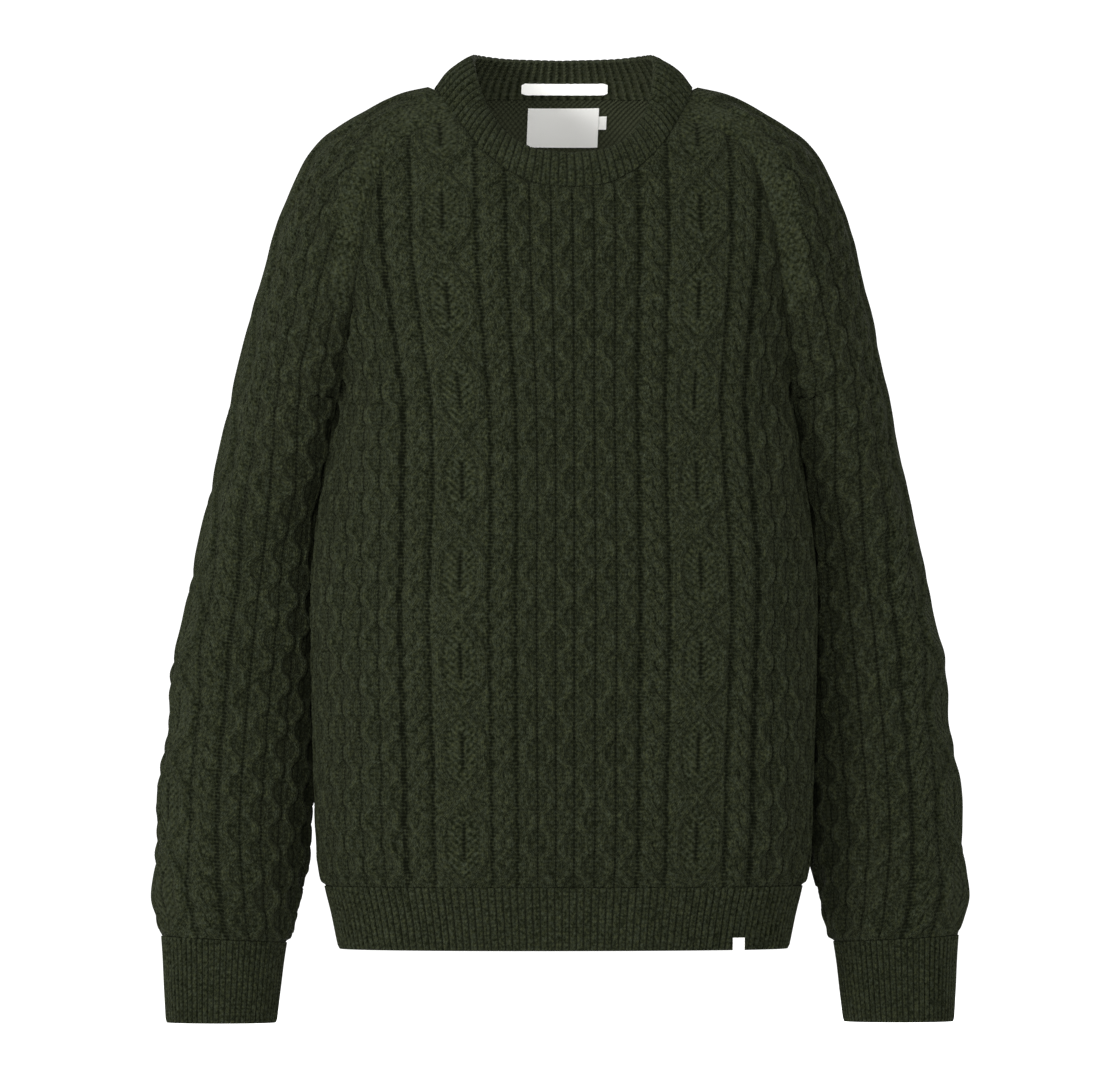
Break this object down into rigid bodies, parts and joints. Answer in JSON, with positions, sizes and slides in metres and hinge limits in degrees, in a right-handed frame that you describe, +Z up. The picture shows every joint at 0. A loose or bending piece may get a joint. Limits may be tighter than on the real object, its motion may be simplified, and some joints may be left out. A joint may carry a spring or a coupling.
{
  "type": "aran sweater",
  "caption": "Long-sleeved cabled wool sweater with a ribbed round collar, saddle shoulders, ribbed hem and cuffs, and open torso, sleeves and neck, in its worn shape.",
  "frame": {"origin": "base of the neck, midway between the shoulders, at the height of the highest point of the shoulders", "axes": "+Z up, the garment faces -Y, +X towards the wearer's left arm"},
  "size_m": [0.621, 0.2323, 0.7401],
  "materials": {
    "wool_cables": "matte cable-knitted wool, dark olive with lighter and darker fibres",
    "wool_rib": "matte rib-knitted wool, dark olive",
    "label_white": "smooth woven label, off-white, bare"
  },
  "bodies": {
    "root": {"front_panel": "wool_cables", "back_panel": "wool_cables", "sleeve_right": "wool_cables", "sleeve_left": "wool_cables", "cuff_right": "wool_rib", "cuff_left": "wool_rib", "hem_rib_front": "wool_rib", "hem_rib_back": "wool_rib", "collar_rib": "wool_rib", "neck_strip_label": "label_white", "neck_label": "label_white", "size_tab": "label_white", "hem_tab": "label_white"}
  },
  "joints": []
}
